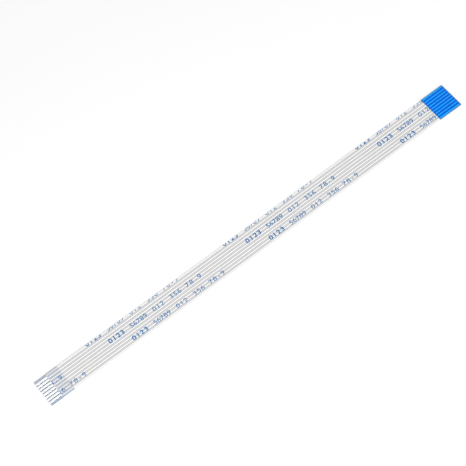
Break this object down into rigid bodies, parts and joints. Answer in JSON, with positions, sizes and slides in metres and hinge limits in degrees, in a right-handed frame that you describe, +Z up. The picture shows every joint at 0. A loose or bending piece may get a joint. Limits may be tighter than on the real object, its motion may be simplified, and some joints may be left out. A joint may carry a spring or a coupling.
{
  "type": "flat flex cable",
  "caption": "Flat flex cable: parallel flat tinned conductors laminated between two thin films, bare contacts on opposite faces at the two ends, and a stiffener tape behind each.",
  "frame": {"origin": "middle of the cable's length and width, on the surface that it lies on", "axes": "+X along the length, from the end whose contacts face up to the end whose contacts face down; +Y across the width; +Z up"},
  "size_m": [0.15, 0.009, 0.0003],
  "materials": {
    "bottom_film": "satin white polyester film, the conductors showing through as grey stripes",
    "top_film": "satin white polyester film, printed with small blue digits",
    "stiffener_tape": "glossy blue polyester tape",
    "tinned_conductor": "bright tin plating on flat rolled copper"
  },
  "bodies": {
    "root": {"bottom_film": "bottom_film", "top_film": "top_film", "left_stiffener": "stiffener_tape", "right_stiffener": "stiffener_tape", "conductor_1": "tinned_conductor", "conductor_2": "tinned_conductor", "conductor_3": "tinned_conductor", "conductor_4": "tinned_conductor", "conductor_5": "tinned_conductor", "conductor_6": "tinned_conductor", "conductor_7": "tinned_conductor", "conductor_8": "tinned_conductor"}
  },
  "joints": []
}
